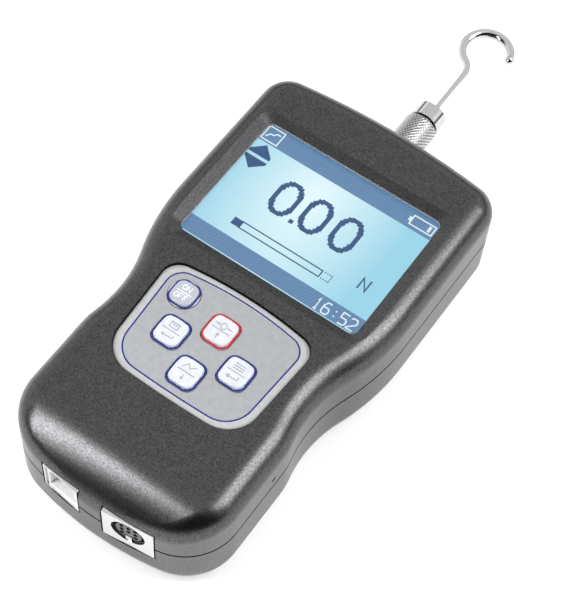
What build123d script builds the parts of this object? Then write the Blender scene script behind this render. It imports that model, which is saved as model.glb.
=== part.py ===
"""Hand-held digital force gauge with a hook, display up, hook towards +Y.

Millimetres. Z = 0 is the rear face of the case, X = 0 its plane of symmetry, and
Y = 0 the middle of the overall length, so the origin is the centre of the base.
"""
import os
from math import acos, asin, cos, degrees, radians, sin, sqrt

from build123d import *

# ---------------------------------------------------------------- driving sizes
# Case, in plan
body_length = 134.1
grip_width = 63.0
shoulder_flare = 5.0        # the head stands out this much past the grip, each side
waist_inset = 1.4           # the waist is this much inside the grip, each side
waist_from_head_end = 84.5
shoulder_radius = 66.0
waist_radius = 38.4
flank_radius = 20.0
head_end_radius = 220.0
grip_end_radius = 87.0
head_corner_radius = 8.5
grip_corner_radius = 15.5

# Case, in height
body_thickness = 34.0
parting_height = 18.7
wall = 2.5
seam_gap = 0.3
front_edge_radius = 6.4
rear_edge_radius = 7.5
roll_length = 14.6          # both faces roll over towards the lower end
roll_radius = 16.0
rear_roll_radius = 32.0
lip_height = 1.6
lip_thickness = 1.05
fit_gap = 0.2               # between fixed pieces that slip together
slip_gap = 0.1              # round a screw that passes through
hold_gap = 0.02             # round a screw, insert or wire that is held fast
clear = 1.0                 # cutters run this much past the faces they open

# Display
window_from_head_end = 40.5
window_width = 55.0
window_height = 42.0
window_corner = 2.0
dish_margin_x = 3.6
dish_margin_y = 2.7
dish_depth = 1.2
dish_corner = 4.5
dish_lip = 0.8
pane_margin = 1.6
pane_thickness = 1.2
lcd_margin = 1.6
lcd_gap = 0.15              # the panel lies this much under the pane
lcd_thickness = 1.4
backlight_thickness = 1.3
frame_wall = 1.2

# Keypad
keypad_from_head_end = 86.0
keypad_length = 34.6
keypad_top_width = 44.8
keypad_taper = 1.8          # the lower end is this much narrower, each side
keypad_top_bulge = 2.1
keypad_end_bulge = 0.7
keypad_top_corner = 5.0
keypad_end_corner = 9.0
keypad_recess = 1.3
keypad_gap = 0.35
overlay_thickness = 0.5

# Keys
key_width = 8.4
key_height = 8.9
key_bulge = 0.35
key_corner = 2.0
key_rise = 0.95
key_skirt_rise = 0.2
key_rim = 0.5
key_edge = 0.6
key_play = 0.2
key_travel = 0.35
key_flange = 0.5
key_stop_gap = 0.1          # left over the switch when the key is right down
power_dome_radius = 4.25
power_width = 6.6
power_height = 7.0
key_column = 10.0           # left and right keys from the middle
cross_from_head_end = 87.9  # middle of the four-key cross
zero_offset = 7.4
mode_offset = 7.2
power_column = 13.9
power_from_head_end = 77.2

# Circuit board and what stands on it
board_thickness = 1.6
board_width = 51.4
board_from_end = 15.6
board_from_head_end = 5.0
board_chamfer = 3.0
tongue_width = 39.0          # the board's tongue over the sockets
tongue_from_end = 7.0
screw_column = 22.3
screw_from_board_end = 4.4
board_boss_radius = 2.6
board_screw_radius = 1.1
board_screw_length = 5.0
board_head_radius = 2.0
board_head_height = 1.4
switch_size = 6.0
switch_height = 2.3
nib_radius = 1.5
nib_length = 1.0
nib_play = 0.3

# Load line: cell, shaft, sleeve and hook
shaft_height = 13.5
shaft_radius = 3.0
stud_radius = 2.0
running_gap = 0.1
cell_gap = 0.3
bush_radius = 4.0
bush_length = 8.0
bush_boss_wall = 1.0
cell_from_head_end = 40.5
cell_length = 40.0
cell_depth = 10.0
cell_height = 12.0
cell_overhang = 9.0
cell_bore_radius = 3.6
cell_bore_pitch = 9.0
cell_slot_width = 3.0
bolt_radius = 1.5
bolt_pitch = 6.2
bolt_bite = 5.0
bolt_head_radius = 2.75
bolt_head_height = 3.0
gauge_thickness = 0.15
gauge_length = 4.0
gauge_width = 3.5
bracket_width = 12.0
bracket_depth = 7.0
bracket_foot = 3.0
bracket_length = 26.0
bracket_bevel = 2.0         # clears the rounded edge of the case
foot_screw_from_end = 4.5
foot_screw_radius = 1.25
foot_screw_bite = 1.5
foot_head_radius = 2.4
foot_head_height = 1.6
shaft_shoulder_radius = 3.8
shaft_shoulder_thickness = 2.0
shaft_chamfer = 0.5
nut_across_flats = 7.0
nut_thickness = 3.2
sleeve_radius = 5.2
sleeve_length = 17.2
sleeve_chamfer = 1.1
collar_radius = 4.65
collar_length = 4.7
collar_flats = 8.9
collar_turn = 37.0
collar_stub = 6.0
wire_sink = 3.8
hook_reach = 59.4           # head end of the case to the crown of the hook
hook_radius = 7.1           # bend of the hook, to the middle of the wire
hook_offset = 1.0           # middle of the bend from the shaft's axis
neck_radius = 6.0           # swan-neck below the bend
shank_radius = 0.95
crown_radius = 1.45
tip_radius = 1.15
ball_radius = 1.4
tip_angle = 13.0

# Sockets in the lower end wall
socket_inset = 0.15         # a flat face in a bowed wall
din_column = 10.8
din_width = 14.4
din_height = 12.8
din_depth = 12.8
din_mouth_rise = 0.9        # its round mouth sits this much above the middle
din_mouth = 4.75
din_core_radius = 3.65
din_mouth_depth = 6.0
usb_column = -9.7
usb_width = 11.5
usb_height = 11.1
usb_depth = 15.0
usb_mouth_width = 8.45
usb_mouth_height = 7.78
usb_mouth_bevel = 1.6
usb_mouth_depth = 8.5
usb_tongue_width = 5.6
usb_tongue_height = 3.2
usb_tongue_back = 1.4
usb_core_back = 0.5
din_core_back = 0.4
din_tail = 2.5
din_pin_radius = 0.45
din_pin_pitch = 1.9
din_key_width = 2.2
din_key_depth = 1.5
sheet = 0.45

# Reset switch behind its pin hole
reset_from_end = 32.6
reset_height = 22.5
pin_hole_length = 1.7
pin_hole_width = 0.7
reset_depth = 4.0
reset_width = 6.0
reset_stem_radius = 1.0
reset_stem_length = 1.5

# Screws, inserts and cells
pillar_radius = 3.3
case_screw_radius = 1.25
case_head_radius = 2.3
case_head_height = 2.0
case_head_sink = 4.5
case_screw_bite = 8.0
head_screw_column = 29.4
head_screw_from_head_end = 8.8
grip_screw_column = 24.4
grip_screw_from_end = 11.4
mount_spacing_x = 48.0
mount_spacing_y = 48.0
insert_radius = 2.8
insert_bore = 2.0           # M4
insert_length = 6.0
insert_wall = 1.4
cell_bay_from_end = 16.0
battery_radius = 5.25
battery_length = 44.5
battery_count = 3
battery_gap = 0.2
cradle_wall = 1.0
cradle_floor = 0.8

# ------------------------------------------------------------ derived positions
overall_length = body_length + hook_reach
lower_end = -overall_length / 2
head_end = lower_end + body_length
crown_y = lower_end + overall_length
grip_half = grip_width / 2
waist_half = grip_half - waist_inset
head_half = grip_half + shoulder_flare
waist_y = head_end - waist_from_head_end
window_y = head_end - window_from_head_end
keypad_y = head_end - keypad_from_head_end

front_face = body_thickness
roof_under = front_face - wall
seam_low = parting_height - seam_gap / 2
seam_high = parting_height + seam_gap / 2
rear_inside = wall

pane_top = front_face - dish_depth - dish_lip
pane_bottom = pane_top - pane_thickness
lcd_bottom = pane_bottom - lcd_gap - lcd_thickness
backlight_bottom = lcd_bottom - backlight_thickness
lcd_width = window_width + 2 * lcd_margin
lcd_height = window_height + 2 * lcd_margin
frame_width = lcd_width + fit_gap + 2 * frame_wall
frame_height = lcd_height + fit_gap + 2 * frame_wall
board_top = backlight_bottom
board_bottom = board_top - board_thickness
board_low_y = lower_end + board_from_end
board_high_y = head_end - board_from_head_end

overlay_bottom = front_face - keypad_recess
overlay_top = overlay_bottom + overlay_thickness
switch_top = board_top + switch_height
flange_top = roof_under - fit_gap
flange_bottom = switch_top + key_travel + key_stop_gap

board_screw_spots = [
    (side * screw_column, y)
    for side in (-1, 1)
    for y in (board_low_y + screw_from_board_end, board_high_y - screw_from_board_end)
]
case_screw_spots = [
    (side * column, y)
    for side in (-1, 1)
    for column, y in (
        (head_screw_column, head_end - head_screw_from_head_end),
        (grip_screw_column, lower_end + grip_screw_from_end),
    )
]

cross_y = head_end - cross_from_head_end
key_spots = {
    "key_zero": (0, cross_y + zero_offset),
    "key_left": (-key_column, cross_y),
    "key_right": (key_column, cross_y),
    "key_lower": (0, cross_y - mode_offset),
}
power_spot = (-power_column, head_end - power_from_head_end)

cell_y = head_end - cell_from_head_end
cell_left = cell_overhang - cell_length
cell_low = shaft_height - cell_height / 2
cell_face = cell_y + cell_depth / 2
cell_back = cell_y - cell_depth / 2
bore_middle = (cell_left + bracket_width - stud_radius - cell_gap) / 2
bore_columns = [bore_middle + side * cell_bore_pitch / 2 for side in (-1, 1)]
bolt_columns = [cell_left + bracket_width / 2 + side * bolt_pitch / 2 for side in (-1, 1)]
bolt_spots = [(-column, 0) for column in bolt_columns]
foot_screw_y = cell_back - bracket_depth + bracket_length - foot_screw_from_end
foot_screw_spots = [(column, foot_screw_y) for column in bolt_columns]
sleeve_start = head_end + cell_gap
sleeve_end = sleeve_start + sleeve_length
collar_start = sleeve_end + cell_gap
collar_end = collar_start + collar_length
shaft_bore = shaft_radius + running_gap


# ------------------------------------------------------------- shared outlines
def case_outline(inset=0.0):
    """Plan outline of the case: arcs that meet in tangents, set in by a distance."""
    shoulder_turn = degrees(acos(1 - (head_half - waist_half) / (shoulder_radius + waist_radius)))
    flank_turn = degrees(acos(1 - waist_inset / (flank_radius + waist_radius)))
    shoulder_y = waist_y + (shoulder_radius + waist_radius) * sin(radians(shoulder_turn))
    flank_y = waist_y - (flank_radius + waist_radius) * sin(radians(flank_turn))
    head_turn = degrees(asin(head_half / head_end_radius))
    grip_turn = degrees(asin(grip_half / grip_end_radius))
    head_corner_y = head_end - head_end_radius * (1 - cos(radians(head_turn)))
    grip_corner_y = lower_end + grip_end_radius * (1 - cos(radians(grip_turn)))
    with BuildSketch() as outline:
        with BuildLine():
            Line((head_half, head_corner_y), (head_half, shoulder_y))
            CenterArc((head_half - shoulder_radius, shoulder_y), shoulder_radius, 0, -shoulder_turn)
            CenterArc(
                (waist_half + waist_radius, waist_y),
                waist_radius,
                180 - shoulder_turn,
                shoulder_turn + flank_turn,
            )
            CenterArc((grip_half - flank_radius, flank_y), flank_radius, flank_turn, -flank_turn)
            Line((grip_half, flank_y), (grip_half, grip_corner_y))
            mirror(about=Plane.YZ)
            CenterArc((0, head_end - head_end_radius), head_end_radius, 90 - head_turn, 2 * head_turn)
            CenterArc((0, lower_end + grip_end_radius), grip_end_radius, 270 - grip_turn, 2 * grip_turn)
        make_face()
        fillet(outline.vertices().sort_by(Axis.Y)[-2:], head_corner_radius)
        fillet(outline.vertices().sort_by(Axis.Y)[:2], grip_corner_radius)
        if inset:
            offset(amount=-inset)
    return outline.sketch


def keypad_outline(grow=0.0):
    """Barrel-shaped outline of the keypad, let out by a distance."""
    high = keypad_y + keypad_length / 2
    low = high - keypad_length
    top_half = keypad_top_width / 2
    end_half = top_half - keypad_taper
    with BuildSketch() as outline:
        with BuildLine():
            ThreePointArc((-top_half, high - keypad_top_bulge), (0, high), (top_half, high - keypad_top_bulge))
            Line((top_half, high - keypad_top_bulge), (end_half, low + keypad_end_bulge))
            ThreePointArc((end_half, low + keypad_end_bulge), (0, low), (-end_half, low + keypad_end_bulge))
            Line((-end_half, low + keypad_end_bulge), (-top_half, high - keypad_top_bulge))
        make_face()
        fillet(outline.vertices().sort_by(Axis.Y)[-2:], keypad_top_corner)
        fillet(outline.vertices().sort_by(Axis.Y)[:2], keypad_end_corner)
        if grow:
            offset(amount=grow)
    return outline.sketch


def pillow(width, height, grow=0.0):
    """Square key outline with bowed sides, let out by a distance."""
    x = width / 2 + grow
    y = height / 2 + grow
    corner_x = x - key_bulge
    corner_y = y - key_bulge
    with BuildSketch() as outline:
        with BuildLine():
            ThreePointArc((-corner_x, corner_y), (0, y), (corner_x, corner_y))
            ThreePointArc((corner_x, corner_y), (x, 0), (corner_x, -corner_y))
            ThreePointArc((corner_x, -corner_y), (0, -y), (-corner_x, -corner_y))
            ThreePointArc((-corner_x, -corner_y), (-x, 0), (-corner_x, corner_y))
        make_face()
        fillet(outline.vertices(), key_corner + grow)
    return outline.sketch


def curved_rim(edges):
    """The edges round a face of the case, without those that cross it or stand."""
    return edges.filter_by(GeomType.LINE, reverse=True) + edges.filter_by(Axis.Y)


def at(spot, height):
    """Horizontal work plane above a spot of the plan."""
    return Plane(origin=(spot[0], spot[1], height))


def socket_face(column, height):
    """Plane on the curved lower end wall, facing out, with its Y up."""
    turn = asin(column / grip_end_radius)
    middle = lower_end + grip_end_radius
    reach = grip_end_radius - socket_inset
    return Plane(
        origin=(reach * sin(turn), middle - reach * cos(turn), height),
        x_dir=(cos(turn), sin(turn), 0),
        z_dir=(sin(turn), -cos(turn), 0),
    )


def load_line(y):
    """Plane across the load line, facing the hook, with its X along X."""
    return Plane(origin=(0, y, shaft_height), x_dir=(-1, 0, 0), z_dir=(0, 1, 0))


din_face = socket_face(din_column, board_bottom - din_height / 2)
din_mouth_face = socket_face(din_column, board_bottom - din_height / 2 + din_mouth_rise)
usb_face = socket_face(usb_column, board_bottom - usb_height / 2)
socket_bays = (
    (din_face, din_width, din_height, din_depth),
    (usb_face, usb_width, usb_height, usb_depth),
)

# ----------------------------------------------------------------- front shell
# Each face is flat to roll_y and then turns in an arc to the lower end wall.
roll_y = lower_end + roll_length
roll_foot = front_face - roll_radius + sqrt(roll_radius**2 - roll_length**2)
rear_roll_foot = rear_roll_radius - sqrt(rear_roll_radius**2 - roll_length**2)

with BuildPart() as front_blank:
    with BuildSketch(Plane.XY.offset(seam_high)):
        add(case_outline())
    extrude(amount=front_face - seam_high)
    with BuildSketch(Plane.YZ):
        with BuildLine():
            RadiusArc((lower_end, roll_foot), (roll_y, front_face), roll_radius)
            Polyline(
                (roll_y, front_face),
                (roll_y, front_face + clear),
                (lower_end - clear, front_face + clear),
                (lower_end - clear, roll_foot),
                (lower_end, roll_foot),
            )
        make_face()
    extrude(amount=head_half + clear, both=True, mode=Mode.SUBTRACT)
    fillet(curved_rim(front_blank.edges().filter_by_position(Axis.Z, roll_foot, front_face)), front_edge_radius)

# pillars for the case screws and bosses for the board, kept inside the case
with BuildPart() as front_fittings:
    pillar_top = roof_under + fit_gap
    with BuildSketch(Plane.XY.offset(seam_low)):
        with Locations(*case_screw_spots):
            Circle(pillar_radius)
    extrude(amount=pillar_top - seam_low)
    with BuildSketch(Plane.XY.offset(board_top)):
        with Locations(*board_screw_spots):
            Circle(board_boss_radius)
    extrude(amount=pillar_top - board_top)
    add(front_blank.part, mode=Mode.INTERSECT)

with BuildPart() as front_shell:
    add(front_blank.part)
    offset(amount=-wall, openings=front_shell.faces().sort_by(Axis.Z)[0])
    add(front_fittings.part)
    with BuildSketch(Plane.XY.offset(seam_low)):
        with Locations(*case_screw_spots):
            Circle(case_screw_radius + hold_gap)
    extrude(amount=case_screw_bite + fit_gap, mode=Mode.SUBTRACT)
    with BuildSketch(Plane.XY.offset(board_top)):
        with Locations(*board_screw_spots):
            Circle(board_screw_radius + hold_gap)
    extrude(amount=board_screw_length - board_thickness + fit_gap, mode=Mode.SUBTRACT)

    # rebate that receives the locating lip of the rear shell
    with BuildSketch(Plane.XY.offset(seam_high)):
        add(case_outline(wall - lip_thickness - fit_gap))
        add(case_outline(wall + clear), mode=Mode.SUBTRACT)
        with Locations(*case_screw_spots):
            Circle(pillar_radius, mode=Mode.SUBTRACT)
    extrude(amount=lip_height + fit_gap - seam_gap, mode=Mode.SUBTRACT)

    # display: sloped dish, opening, and the pane's seat behind the lip
    dish_floor = front_face - dish_depth
    with BuildSketch(at((0, window_y), dish_floor)):
        RectangleRounded(window_width, window_height, window_corner)
    with BuildSketch(at((0, window_y), front_face)):
        RectangleRounded(
            window_width + 2 * dish_margin_x, window_height + 2 * dish_margin_y, dish_corner
        )
    loft(mode=Mode.SUBTRACT)
    with BuildSketch(at((0, window_y), roof_under - clear)):
        RectangleRounded(window_width, window_height, window_corner)
    extrude(amount=dish_floor - roof_under + clear, mode=Mode.SUBTRACT)
    with BuildSketch(at((0, window_y), roof_under - clear)):
        Rectangle(window_width + 2 * pane_margin + fit_gap, window_height + 2 * pane_margin + fit_gap)
    extrude(amount=pane_top - roof_under + clear, mode=Mode.SUBTRACT)
    with BuildSketch(at((0, window_y), board_top)):
        Rectangle(frame_width + 2 * fit_gap, frame_height + 2 * fit_gap)
    extrude(amount=pane_bottom - board_top, mode=Mode.SUBTRACT)

    # keypad: recess and key openings
    with BuildSketch(Plane.XY.offset(overlay_bottom)):
        add(keypad_outline(keypad_gap))
    extrude(amount=keypad_recess, mode=Mode.SUBTRACT)
    with BuildSketch(Plane.XY.offset(roof_under - clear)):
        for spot in key_spots.values():
            with Locations(spot):
                add(pillow(key_width, key_height, key_play))
        with Locations(power_spot):
            Circle(power_dome_radius + key_play)
    extrude(amount=keypad_recess + wall, mode=Mode.SUBTRACT)

    # sockets and pin hole
    for face, width, height, depth in socket_bays:
        with BuildSketch(face.offset(clear)):
            Rectangle(width + 2 * fit_gap, height + 2 * fit_gap)
        extrude(amount=-clear - depth, mode=Mode.SUBTRACT)
    with BuildSketch(
        Plane(
            origin=(grip_half + clear, lower_end + reset_from_end, reset_height),
            x_dir=(0, 1, 0),
            z_dir=(1, 0, 0),
        )
    ):
        SlotOverall(pin_hole_length, pin_hole_width)
    extrude(amount=-wall - 2 * clear, mode=Mode.SUBTRACT)

# ------------------------------------------------------------------ rear shell
with BuildPart() as rear_blank:
    with BuildSketch():
        add(case_outline())
    extrude(amount=seam_low)
    with BuildSketch(Plane.YZ):
        with BuildLine():
            RadiusArc((lower_end, rear_roll_foot), (roll_y, 0), -rear_roll_radius)
            Polyline(
                (roll_y, 0),
                (roll_y, -clear),
                (lower_end - clear, -clear),
                (lower_end - clear, rear_roll_foot),
                (lower_end, rear_roll_foot),
            )
        make_face()
    extrude(amount=head_half + clear, both=True, mode=Mode.SUBTRACT)
    fillet(curved_rim(rear_blank.edges().filter_by_position(Axis.Z, 0, rear_roll_foot)), rear_edge_radius)

# pillars for the case screws, bosses for the inserts, boss for the bush
with BuildPart() as rear_fittings:
    with BuildSketch():
        with Locations(*case_screw_spots):
            Circle(pillar_radius)
    extrude(amount=seam_low)
    with BuildSketch(at((0, window_y), 0)):
        with GridLocations(mount_spacing_x, mount_spacing_y, 2, 2):
            Circle(insert_radius + insert_wall)
    extrude(amount=insert_length + insert_wall)
    with BuildSketch(load_line(head_end)):
        Circle(bush_radius + bush_boss_wall)
    extrude(amount=-bush_length + wall / 2)
    add(rear_blank.part, mode=Mode.INTERSECT)

with BuildPart() as rear_shell:
    add(rear_blank.part)
    offset(amount=-wall, openings=rear_shell.faces().sort_by(Axis.Z)[-1])
    add(rear_fittings.part)

    # locating lip round the inside of the seam
    with BuildSketch(Plane.XY.offset(seam_low - clear)):
        add(case_outline(wall - lip_thickness))
        add(case_outline(wall), mode=Mode.SUBTRACT)
        with Locations(*case_screw_spots):
            Circle(pillar_radius + fit_gap, mode=Mode.SUBTRACT)
    extrude(amount=clear + lip_height)

    # counterbores, screw holes and bores
    with BuildSketch():
        with Locations(*case_screw_spots):
            Circle(case_head_radius + fit_gap)
    extrude(amount=case_head_sink, mode=Mode.SUBTRACT)
    with BuildSketch():
        with Locations(*case_screw_spots):
            Circle(case_screw_radius + fit_gap)
    extrude(amount=seam_low, mode=Mode.SUBTRACT)
    with BuildSketch(at((0, window_y), 0)):
        with GridLocations(mount_spacing_x, mount_spacing_y, 2, 2):
            Circle(insert_radius + hold_gap)
    extrude(amount=insert_length, mode=Mode.SUBTRACT)
    with BuildSketch(load_line(head_end + clear)):
        Circle(bush_radius + hold_gap)
    extrude(amount=-bush_length - 2 * clear, mode=Mode.SUBTRACT)

    with BuildSketch(Plane.XY.offset(rear_inside)):
        with Locations(*foot_screw_spots):
            Circle(foot_screw_radius + hold_gap)
    extrude(amount=-foot_screw_bite - fit_gap, mode=Mode.SUBTRACT)

    for face, width, height, depth in socket_bays:
        with BuildSketch(face.offset(clear)):
            Rectangle(width + 2 * fit_gap, height + 2 * fit_gap)
        extrude(amount=-clear - depth, mode=Mode.SUBTRACT)

# --------------------------------------------------------------------- display
with BuildPart() as display_window:
    with BuildSketch(at((0, window_y), pane_bottom)):
        Rectangle(window_width + 2 * pane_margin, window_height + 2 * pane_margin)
    extrude(amount=pane_thickness)

with BuildPart() as lcd_panel:
    with BuildSketch(at((0, window_y), lcd_bottom)):
        Rectangle(lcd_width, lcd_height)
    extrude(amount=lcd_thickness)

with BuildPart() as backlight:
    with BuildSketch(at((0, window_y), backlight_bottom)):
        Rectangle(lcd_width, lcd_height)
    extrude(amount=backlight_thickness)

with BuildPart() as lcd_frame:
    with BuildSketch(at((0, window_y), board_top)):
        RectangleRounded(frame_width, frame_height, frame_wall)
        Rectangle(lcd_width + fit_gap, lcd_height + fit_gap, mode=Mode.SUBTRACT)
    extrude(amount=pane_bottom - board_top)

# ---------------------------------------------------------------------- keypad
with BuildPart() as keypad_overlay:
    with BuildSketch(Plane.XY.offset(overlay_bottom)):
        add(keypad_outline())
        for spot in key_spots.values():
            with Locations(spot):
                add(pillow(key_width, key_height, key_play), mode=Mode.SUBTRACT)
        with Locations(power_spot):
            Circle(power_dome_radius + key_play, mode=Mode.SUBTRACT)
    extrude(amount=overlay_thickness)

keys = {}
for name, spot in key_spots.items():
    with BuildPart() as key:
        with BuildSketch(at(spot, flange_bottom)):
            add(pillow(key_width, key_height, key_flange))
        extrude(amount=flange_top - flange_bottom)
        with BuildSketch(at(spot, flange_top)):
            add(pillow(key_width, key_height))
        extrude(amount=overlay_top + key_skirt_rise - flange_top)
        with BuildSketch(at(spot, overlay_top + key_skirt_rise)):
            add(pillow(key_width, key_height, -key_rim))
        extrude(amount=key_rise - key_skirt_rise)
        fillet(key.faces().sort_by(Axis.Z)[-1].edges(), key_edge)
        with BuildSketch(at(spot, flange_bottom)):
            Circle(nib_radius)
        extrude(amount=-nib_length)
    keys[name] = key.part

with BuildPart() as key_power:
    with BuildSketch(at(power_spot, flange_bottom)):
        Circle(power_dome_radius + key_flange)
    extrude(amount=flange_top - flange_bottom)
    with BuildSketch(at(power_spot, flange_top)):
        Circle(power_dome_radius)
    extrude(amount=overlay_top + key_skirt_rise - flange_top)
    with BuildSketch(at(power_spot, overlay_top + key_skirt_rise)):
        add(pillow(power_width, power_height))
    extrude(amount=key_rise - key_skirt_rise)
    fillet(key_power.faces().sort_by(Axis.Z)[-1].edges(), key_edge)
    with BuildSketch(at(power_spot, flange_bottom)):
        Circle(nib_radius)
    extrude(amount=-nib_length)
keys["key_power"] = key_power.part

# ----------------------------------------------------------------------- board
board_mid_y = (board_low_y + board_high_y) / 2
tongue_y = lower_end + tongue_from_end
with BuildPart() as main_board:
    with BuildSketch(Plane.XY.offset(board_bottom)) as board:
        with Locations((0, board_mid_y)):
            Rectangle(board_width, board_high_y - board_low_y)
        chamfer(board.vertices(), board_chamfer)
        with Locations((0, (tongue_y + board_mid_y) / 2)):
            Rectangle(tongue_width, board_mid_y - tongue_y)
        with Locations(*board_screw_spots):
            Circle(board_screw_radius + slip_gap, mode=Mode.SUBTRACT)
    extrude(amount=board_thickness)

with BuildPart() as board_screws:
    with BuildSketch(Plane.XY.offset(board_bottom)):
        with Locations(*board_screw_spots):
            Circle(board_screw_radius)
    extrude(amount=board_screw_length)
    with BuildSketch(Plane.XY.offset(board_bottom)):
        with Locations(*board_screw_spots):
            Circle(board_head_radius)
    extrude(amount=-board_head_height)

with BuildPart() as key_switches:
    with BuildSketch(Plane.XY.offset(board_top)):
        with Locations(power_spot, *key_spots.values()):
            Rectangle(switch_size, switch_size)
    extrude(amount=switch_height)
    with BuildSketch(Plane.XY.offset(switch_top)):
        with Locations(power_spot, *key_spots.values()):
            Circle(nib_radius + nib_play)
    extrude(amount=-nib_length, mode=Mode.SUBTRACT)

with BuildPart() as reset_switch:
    reset_y = lower_end + reset_from_end
    with BuildSketch(at((board_width / 2 - reset_depth / 2, reset_y), board_bottom)):
        Rectangle(reset_depth, reset_width)
    extrude(amount=reset_height - reset_width / 2 - board_bottom)
    with BuildSketch(Plane(origin=(board_width / 2, reset_y, reset_height), z_dir=(1, 0, 0))):
        Circle(reset_stem_radius)
    extrude(amount=reset_stem_length)

# --------------------------------------------------------------------- sockets
with BuildPart() as usb_shield:
    with BuildSketch(usb_face):
        Rectangle(usb_width, usb_height)
        Rectangle(usb_width - 2 * sheet, usb_height - 2 * sheet, mode=Mode.SUBTRACT)
    extrude(amount=-usb_depth)

with BuildPart() as usb_core:
    with BuildSketch(usb_face.offset(-usb_core_back)):
        Rectangle(usb_width - 2 * sheet, usb_height - 2 * sheet)
    extrude(amount=usb_core_back - usb_depth)
    with BuildSketch(usb_face.offset(-usb_core_back)) as mouth:
        Rectangle(usb_mouth_width, usb_mouth_height)
        chamfer(mouth.vertices().sort_by(Axis.Y)[-2:], usb_mouth_bevel)
    extrude(amount=-usb_mouth_depth, mode=Mode.SUBTRACT)
    with BuildSketch(usb_face.offset(-usb_core_back - usb_mouth_depth)):
        Rectangle(usb_tongue_width, usb_tongue_height)
    extrude(amount=usb_mouth_depth - usb_tongue_back)

with BuildPart() as din_shield:
    with BuildSketch(din_face):
        Rectangle(din_width, din_height)
    extrude(amount=-din_depth)
    with BuildSketch(din_face.offset(-sheet)):
        Rectangle(din_width - 2 * sheet, din_height - 2 * sheet)
    extrude(amount=-din_depth, mode=Mode.SUBTRACT)
    with BuildSketch(din_mouth_face.offset(clear)):
        Circle(din_mouth)
    extrude(amount=-2 * clear, mode=Mode.SUBTRACT)

pin_rows = ((-1, 1), (-1, 0, 1), (-1, 0, 1))
with BuildPart() as din_core:
    with BuildSketch(din_face.offset(-sheet)):
        Rectangle(din_width - 2 * sheet, din_height - 2 * sheet)
    extrude(amount=sheet - din_depth - din_tail)
    with BuildSketch(din_mouth_face):
        Circle(din_mouth)
        Circle(din_core_radius, mode=Mode.SUBTRACT)
    extrude(amount=-din_mouth_depth, mode=Mode.SUBTRACT)
    with BuildSketch(din_mouth_face.offset(-sheet)):
        Circle(din_core_radius)
    extrude(amount=sheet - din_core_back)
    with BuildSketch(din_mouth_face) as pins:
        for row, columns in enumerate(pin_rows):
            for column in columns:
                with Locations((column * din_pin_pitch, (row - 1) * din_pin_pitch)):
                    Circle(din_pin_radius)
        with Locations((0, -din_core_radius)):
            Rectangle(din_key_width, 2 * din_key_depth)
    extrude(amount=-din_mouth_depth, mode=Mode.SUBTRACT)

# ------------------------------------------------------------------- load line
with BuildPart() as load_cell:
    with BuildSketch(Plane.XY.offset(cell_low)):
        with Locations((cell_left + cell_length / 2, cell_y)):
            Rectangle(cell_length, cell_depth)
        with Locations(*[(column, cell_y) for column in bore_columns]):
            Circle(cell_bore_radius, mode=Mode.SUBTRACT)
        with Locations((bore_middle, cell_y)):
            Rectangle(cell_bore_pitch, cell_slot_width, mode=Mode.SUBTRACT)
    extrude(amount=cell_height)
    with BuildSketch(load_line(cell_face)):
        Circle(stud_radius + cell_gap)
        with Locations(*bolt_spots):
            Circle(bolt_radius + slip_gap)
    extrude(amount=-cell_depth, mode=Mode.SUBTRACT)

with BuildPart() as strain_gauges:
    for y, direction in ((cell_face, 1), (cell_back, -1)):
        with BuildSketch(load_line(y)):
            with Locations(*[(-column, 0) for column in bore_columns]):
                Rectangle(gauge_length, gauge_width)
        extrude(amount=direction * gauge_thickness)

with BuildPart() as cell_bracket:
    with BuildSketch(at((cell_left + bracket_width / 2, cell_back - bracket_depth), rear_inside)):
        Rectangle(bracket_width, bracket_length, align=(Align.CENTER, Align.MIN))
    extrude(amount=bracket_foot)
    with BuildSketch(at((cell_left + bracket_width / 2, cell_back), rear_inside)):
        Rectangle(bracket_width, bracket_depth, align=(Align.CENTER, Align.MAX))
    extrude(amount=cell_low + cell_height - rear_inside)
    outer_edges = cell_bracket.faces().sort_by(Axis.X)[0].edges().filter_by(Axis.Y)
    chamfer(outer_edges.sort_by(Axis.Z)[0], bracket_bevel)
    with BuildSketch(load_line(cell_back)):
        with Locations(*bolt_spots):
            Circle(bolt_radius + hold_gap)
    extrude(amount=-bolt_bite - fit_gap, mode=Mode.SUBTRACT)
    with BuildSketch(Plane.XY):
        with Locations(*foot_screw_spots):
            Circle(foot_screw_radius + slip_gap)
    extrude(amount=rear_inside + bracket_foot, mode=Mode.SUBTRACT)

with BuildPart() as cell_screws:
    with BuildSketch(load_line(cell_face)):
        with Locations(*bolt_spots):
            Circle(bolt_radius)
    extrude(amount=-cell_depth - bolt_bite)
    with BuildSketch(load_line(cell_face)):
        with Locations(*bolt_spots):
            Circle(bolt_head_radius)
    extrude(amount=bolt_head_height)

with BuildPart() as bracket_screws:
    with BuildSketch(Plane.XY.offset(rear_inside + bracket_foot)):
        with Locations(*foot_screw_spots):
            Circle(foot_screw_radius)
    extrude(amount=-bracket_foot - foot_screw_bite)
    with BuildSketch(Plane.XY.offset(rear_inside + bracket_foot)):
        with Locations(*foot_screw_spots):
            Circle(foot_head_radius)
    extrude(amount=foot_head_height)

with BuildPart() as shaft_bush:
    with BuildSketch(load_line(head_end)):
        Circle(bush_radius)
        Circle(shaft_bore, mode=Mode.SUBTRACT)
    extrude(amount=-bush_length)

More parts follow.
